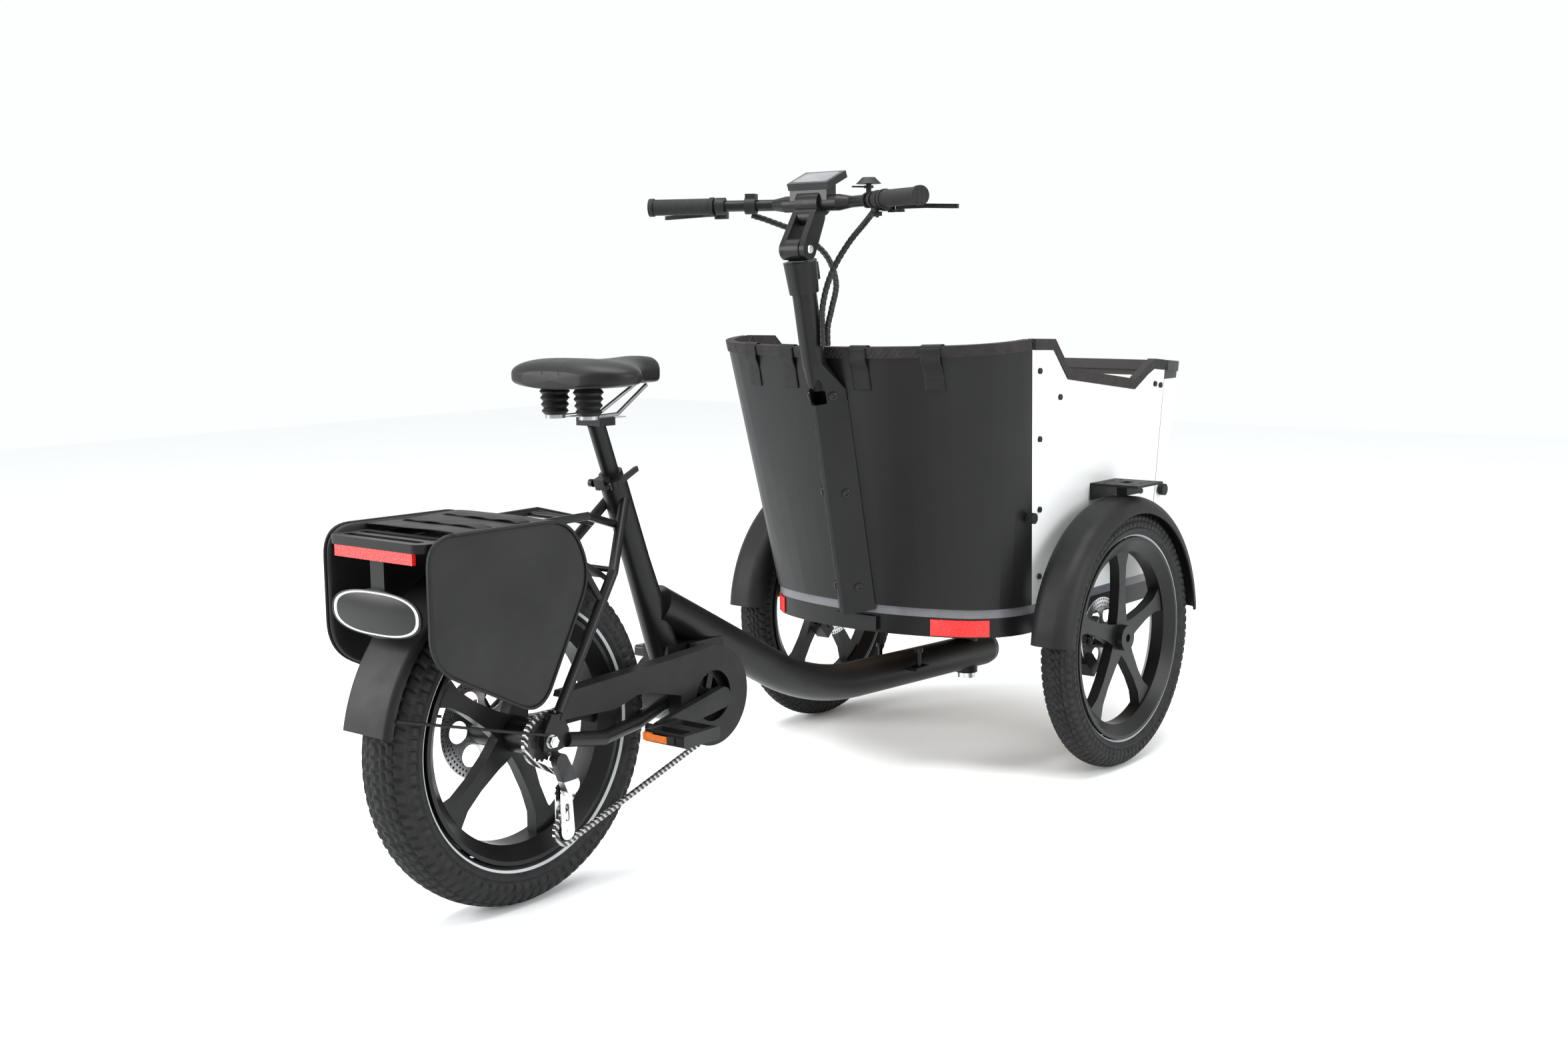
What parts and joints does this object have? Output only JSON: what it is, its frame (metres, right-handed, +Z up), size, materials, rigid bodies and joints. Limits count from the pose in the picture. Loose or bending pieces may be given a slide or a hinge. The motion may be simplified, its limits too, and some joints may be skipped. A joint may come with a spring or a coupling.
{
  "type": "cargo bicycle",
  "caption": "Three-wheeled cargo bicycle: rear half with saddle, mid motor, fat wheel and panniers; steered front half with a tall open family box between two wheels.",
  "frame": {"origin": "middle of the footprint, on the ground", "axes": "+X forward, +Y to the rider's left, +Z up"},
  "size_m": [2.0784, 0.886, 1.2309],
  "materials": {
    "black_paint": "satin black powder coat with a fine orange peel",
    "alloy_black": "satin black anodised or painted cast alloy",
    "bare_alloy": "brushed bare alloy",
    "steel": "bright zinc-plated steel",
    "chain_steel": "bright steel chain and cassette",
    "tyre": "matt black rubber tread",
    "rubber": "matt dark rubber",
    "matte_plastic": "matt moulded black plastic",
    "gloss_plastic": "semi-gloss black plastic",
    "white_panel": "smooth satin white panel",
    "black_panel": "satin black panel",
    "grey_strip": "translucent grey plastic",
    "red_reflector": "red prismatic reflector",
    "screen": "grey display screen",
    "fabric": "black coated pannier fabric",
    "cushion": "dark grey upholstery",
    "saddle_cover": "black synthetic saddle cover",
    "wood": "birch plywood"
  },
  "bodies": {
    "frame": {"seat_tube": "black_paint", "main_tube": "black_paint", "chain_stays": "black_paint", "seat_stays": "black_paint", "motor_unit": "alloy_black", "chain_case": "matte_plastic", "rear_axle": "steel", "rack": "black_paint", "tail_reflector": "red_reflector", "rear_fender": "matte_plastic", "panniers": "fabric", "rear_caliper": "alloy_black", "derailleur": "bare_alloy", "chain": "chain_steel"},
    "seat_clamp": {"seat_lever": "alloy_black"},
    "post": {"seat_post": "black_paint", "saddle_rails": "steel", "saddle_bellows": "rubber", "saddle": "saddle_cover"},
    "rear_wheel": {"rear_tyre": "tyre", "rear_rim": "alloy_black"},
    "sprocket": {"cassette": "chain_steel"},
    "crank": {"crankset": "alloy_black"},
    "pedal_r": {"pedal_right": "matte_plastic"},
    "pedal_l": {"pedal_left": "matte_plastic"},
    "jockey_upper": {"pulley_upper": "matte_plastic"},
    "jockey_lower": {"pulley_lower": "matte_plastic"},
    "steer": {"kingpin": "black_paint", "subframe": "black_paint", "rail_ring": "black_paint", "base_strip": "grey_strip", "box_floor": "wood", "rear_wall": "black_panel", "side_panels": "white_panel", "rim_trim": "rubber", "reflectors": "red_reflector", "box_fasteners": "steel", "front_fenders": "matte_plastic", "fender_steps": "matte_plastic", "front_calipers": "alloy_black", "mast": "black_paint", "bench": "wood", "battery": "matte_plastic", "cushions": "cushion"},
    "wheel_left": {"front_tyre_left": "tyre", "front_rim_left": "alloy_black"},
    "wheel_right": {"front_tyre_right": "tyre", "front_rim_right": "alloy_black"},
    "door": {"front_door": "white_panel"},
    "latch": {"latch_knob": "gloss_plastic"},
    "bars": {"stem_riser": "alloy_black", "handlebar": "alloy_black", "grips": "rubber", "display": "gloss_plastic", "bar_controls": "gloss_plastic", "control_cables": "matte_plastic"},
    "lever_left": {"brake_lever_left": "alloy_black"},
    "lever_right": {"brake_lever_right": "alloy_black"},
    "shifter": {"shift_lever": "matte_plastic"},
    "striker": {"bell_striker": "bare_alloy"}
  },
  "joints": [
    {"name": "seat_height", "type": "slide", "parent": "frame", "child": "post", "axis": [-0.3486, 0, 0.9373], "range_m": [-0.07, 0.05]},
    {"name": "seat_lever_turn", "type": "hinge", "parent": "frame", "child": "seat_clamp", "pos_m": [-0.51336, -0.029, 0.67709], "axis": [-0.3486, 0, 0.9373], "range_deg": [-120, 0]},
    {"name": "rear_wheel_spin", "type": "hinge", "parent": "frame", "child": "rear_wheel", "pos_m": [-0.7398, 0, 0.285], "axis": [0, 1, 0], "continuous": true},
    {"name": "crank_spin", "type": "hinge", "parent": "frame", "child": "crank", "pos_m": [-0.3398, 0, 0.285], "axis": [0, 1, 0], "continuous": true},
    {"name": "sprocket_spin", "type": "hinge", "parent": "frame", "child": "sprocket", "pos_m": [-0.7398, 0, 0.285], "axis": [0, 1, 0], "continuous": true},
    {"name": "jockey_upper_spin", "type": "hinge", "parent": "frame", "child": "jockey_upper", "pos_m": [-0.6978, -0.076, 0.19], "axis": [0, 1, 0], "continuous": true},
    {"name": "jockey_lower_spin", "type": "hinge", "parent": "frame", "child": "jockey_lower", "pos_m": [-0.6958, -0.076, 0.122], "axis": [0, 1, 0], "continuous": true},
    {"name": "pedal_right_spin", "type": "hinge", "parent": "crank", "child": "pedal_r", "pos_m": [-0.50815, -0.171, 0.26134], "axis": [0, 1, 0], "continuous": true},
    {"name": "pedal_left_spin", "type": "hinge", "parent": "crank", "child": "pedal_l", "pos_m": [-0.17146, 0.171, 0.30866], "axis": [0, 1, 0], "continuous": true},
    {"name": "steering", "type": "hinge", "parent": "frame", "child": "steer", "pos_m": [0.6322, 0, 0.2], "axis": [0, 0, 1], "range_deg": [-38, 38]},
    {"name": "wheel_left_spin", "type": "hinge", "parent": "steer", "child": "wheel_left", "pos_m": [0.6052, 0.3915, 0.273], "axis": [0, 1, 0], "continuous": true},
    {"name": "wheel_right_spin", "type": "hinge", "parent": "steer", "child": "wheel_right", "pos_m": [0.6052, -0.3915, 0.273], "axis": [0, 1, 0], "continuous": true},
    {"name": "door_swing", "type": "hinge", "parent": "steer", "child": "door", "pos_m": [0.8977, 0.31351, 0.34], "axis": [-0.0429, 0.0974, 0.9943], "range_deg": [0, 90]},
    {"name": "latch_pull", "type": "slide", "parent": "door", "child": "latch", "axis": [0, -1, 0], "range_m": [0, 0.008], "stiffness_N_per_m": 400},
    {"name": "bar_tilt", "type": "hinge", "parent": "steer", "child": "bars", "pos_m": [0.0342, 0, 1.079], "axis": [0, 1, 0], "range_deg": [-20, 30], "deforming": ["control_cables"]},
    {"name": "brake_left_pull", "type": "hinge", "parent": "bars", "child": "lever_left", "pos_m": [0.06123, 0.22178, 1.154], "axis": [0, 0, 1], "range_deg": [0, 22], "stiffness_Nm_per_rad": 1},
    {"name": "brake_right_pull", "type": "hinge", "parent": "bars", "child": "lever_right", "pos_m": [0.06123, -0.22178, 1.154], "axis": [0, 0, 1], "range_deg": [-22, 0], "stiffness_Nm_per_rad": 1},
    {"name": "shift_push", "type": "hinge", "parent": "bars", "child": "shifter", "pos_m": [0.05119, -0.17729, 1.142], "axis": [0, 0, 1], "range_deg": [-20, 20], "stiffness_Nm_per_rad": 0.5},
    {"name": "bell_flick", "type": "hinge", "parent": "bars", "child": "striker", "pos_m": [0.05511, -0.15483, 1.192], "axis": [0, 0, 1], "range_deg": [-25, 0], "stiffness_Nm_per_rad": 0.2}
  ],
  "couplings": [
    {"joint": "sprocket_spin", "follows": "crank_spin", "ratio": 1.9},
    {"joint": "jockey_lower_spin", "follows": "crank_spin", "ratio": 3.4545},
    {"joint": "jockey_upper_spin", "follows": "crank_spin", "ratio": -3.4545}
  ]
}
